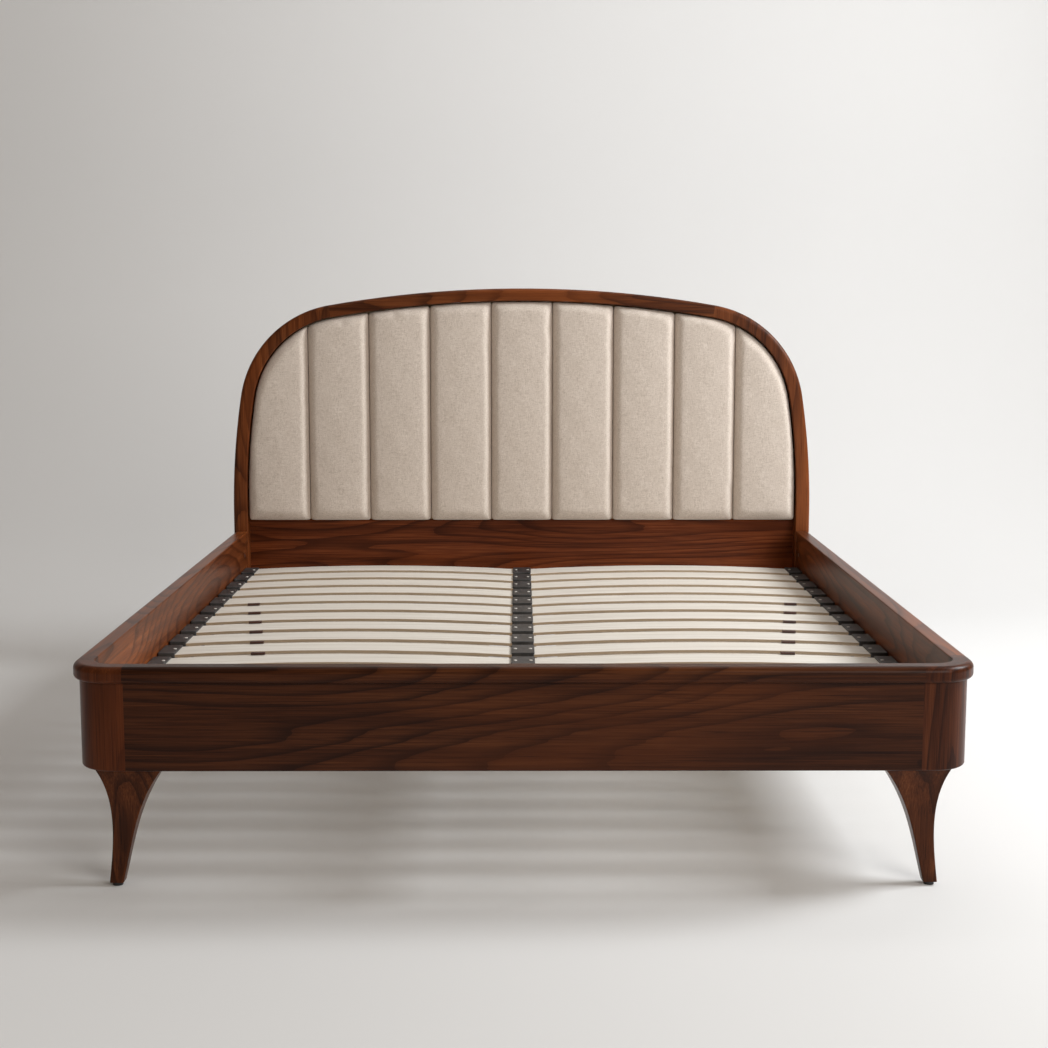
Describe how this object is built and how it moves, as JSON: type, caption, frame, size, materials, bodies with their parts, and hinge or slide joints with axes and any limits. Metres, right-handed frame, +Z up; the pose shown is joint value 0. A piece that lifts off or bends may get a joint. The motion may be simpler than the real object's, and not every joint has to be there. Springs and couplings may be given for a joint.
{
  "type": "wooden bed frame",
  "caption": "Double bed frame with rounded rail cap, arched headboard with upholstered vertical channels, curved tapered legs and a sprung slat base with firmness sliders.",
  "frame": {"origin": "on the floor, under the middle of the bed's outline", "axes": "+X across the bed to the right seen from the foot, +Y along the bed from foot to head, +Z up"},
  "size_m": [1.904, 2.132, 1.2879],
  "materials": {
    "walnut": "satin lacquered dark walnut",
    "spruce": "planed softwood",
    "plywood": "sanded birch plywood",
    "slat_birch": "pale foiled birch",
    "linen_upholstery": "oatmeal linen weave",
    "back_cloth": "dark lining cloth",
    "holder_plastic": "dark grey moulded",
    "rivet_plastic": "pale push rivets",
    "slider_plastic": "brown moulded",
    "glide_plastic": "black",
    "steel": "zinc plated"
  },
  "bodies": {
    "bed_frame": {"back_cover": "back_cloth", "backing_board": "plywood", "barrel_nuts": "steel", "beam_brackets": "steel", "bed_bolts": "steel", "centre_beam": "spruce", "centre_holders": "holder_plastic", "centre_leg": "spruce", "channel_pad_1": "linen_upholstery", "channel_pad_2": "linen_upholstery", "channel_pad_3": "linen_upholstery", "channel_pad_4": "linen_upholstery", "channel_pad_5": "linen_upholstery", "channel_pad_6": "linen_upholstery", "channel_pad_7": "linen_upholstery", "channel_pad_8": "linen_upholstery", "channel_pad_9": "linen_upholstery", "corner_cap_left": "walnut", "corner_cap_right": "walnut", "corner_dowels": "spruce", "foot_cap": "walnut", "foot_corner_left": "walnut", "foot_corner_right": "walnut", "foot_rail": "walnut", "front_leg_left": "walnut", "front_leg_right": "walnut", "head_bend_left": "walnut", "head_bend_right": "walnut", "head_crown": "walnut", "head_post_left": "walnut", "head_post_right": "walnut", "holder_rivets": "rivet_plastic", "leg_bolts": "steel", "leg_glides": "glide_plastic", "leg_mount_blocks": "spruce", "lower_head_panel": "walnut", "outer_holders": "holder_plastic", "rear_leg_left": "walnut", "rear_leg_right": "walnut", "side_cap_left": "walnut", "side_cap_right": "walnut", "side_ledger_left": "spruce", "side_ledger_right": "spruce", "side_rail_left": "walnut", "side_rail_right": "walnut", "slats_left": "slat_birch", "slats_right": "slat_birch", "stiffener_slats": "slat_birch"},
    "slider_left_1": {"slider_left_1": "slider_plastic"},
    "slider_left_2": {"slider_left_2": "slider_plastic"},
    "slider_left_3": {"slider_left_3": "slider_plastic"},
    "slider_left_4": {"slider_left_4": "slider_plastic"},
    "slider_left_5": {"slider_left_5": "slider_plastic"},
    "slider_left_6": {"slider_left_6": "slider_plastic"},
    "slider_right_1": {"slider_right_1": "slider_plastic"},
    "slider_right_2": {"slider_right_2": "slider_plastic"},
    "slider_right_3": {"slider_right_3": "slider_plastic"},
    "slider_right_4": {"slider_right_4": "slider_plastic"},
    "slider_right_5": {"slider_right_5": "slider_plastic"},
    "slider_right_6": {"slider_right_6": "slider_plastic"}
  },
  "joints": [
    {"name": "firmness_left_1", "type": "slide", "parent": "bed_frame", "child": "slider_left_1", "axis": [-0.9995, 0, -0.0322], "range_m": [-0.1611, 0.009]},
    {"name": "firmness_left_2", "type": "slide", "parent": "bed_frame", "child": "slider_left_2", "axis": [-0.9995, 0, -0.0322], "range_m": [-0.1371, 0.033]},
    {"name": "firmness_left_3", "type": "slide", "parent": "bed_frame", "child": "slider_left_3", "axis": [-0.9995, 0, -0.0322], "range_m": [-0.1131, 0.057]},
    {"name": "firmness_left_4", "type": "slide", "parent": "bed_frame", "child": "slider_left_4", "axis": [-0.9995, 0, -0.0322], "range_m": [-0.089, 0.081]},
    {"name": "firmness_left_5", "type": "slide", "parent": "bed_frame", "child": "slider_left_5", "axis": [-0.9995, 0, -0.0322], "range_m": [-0.065, 0.1051]},
    {"name": "firmness_left_6", "type": "slide", "parent": "bed_frame", "child": "slider_left_6", "axis": [-0.9995, 0, -0.0322], "range_m": [-0.041, 0.1291]},
    {"name": "firmness_right_1", "type": "slide", "parent": "bed_frame", "child": "slider_right_1", "axis": [0.9995, 0, -0.0322], "range_m": [-0.1611, 0.009]},
    {"name": "firmness_right_2", "type": "slide", "parent": "bed_frame", "child": "slider_right_2", "axis": [0.9995, 0, -0.0322], "range_m": [-0.1371, 0.033]},
    {"name": "firmness_right_3", "type": "slide", "parent": "bed_frame", "child": "slider_right_3", "axis": [0.9995, 0, -0.0322], "range_m": [-0.1131, 0.057]},
    {"name": "firmness_right_4", "type": "slide", "parent": "bed_frame", "child": "slider_right_4", "axis": [0.9995, 0, -0.0322], "range_m": [-0.089, 0.081]},
    {"name": "firmness_right_5", "type": "slide", "parent": "bed_frame", "child": "slider_right_5", "axis": [0.9995, 0, -0.0322], "range_m": [-0.065, 0.1051]},
    {"name": "firmness_right_6", "type": "slide", "parent": "bed_frame", "child": "slider_right_6", "axis": [0.9995, 0, -0.0322], "range_m": [-0.041, 0.1291]}
  ]
}
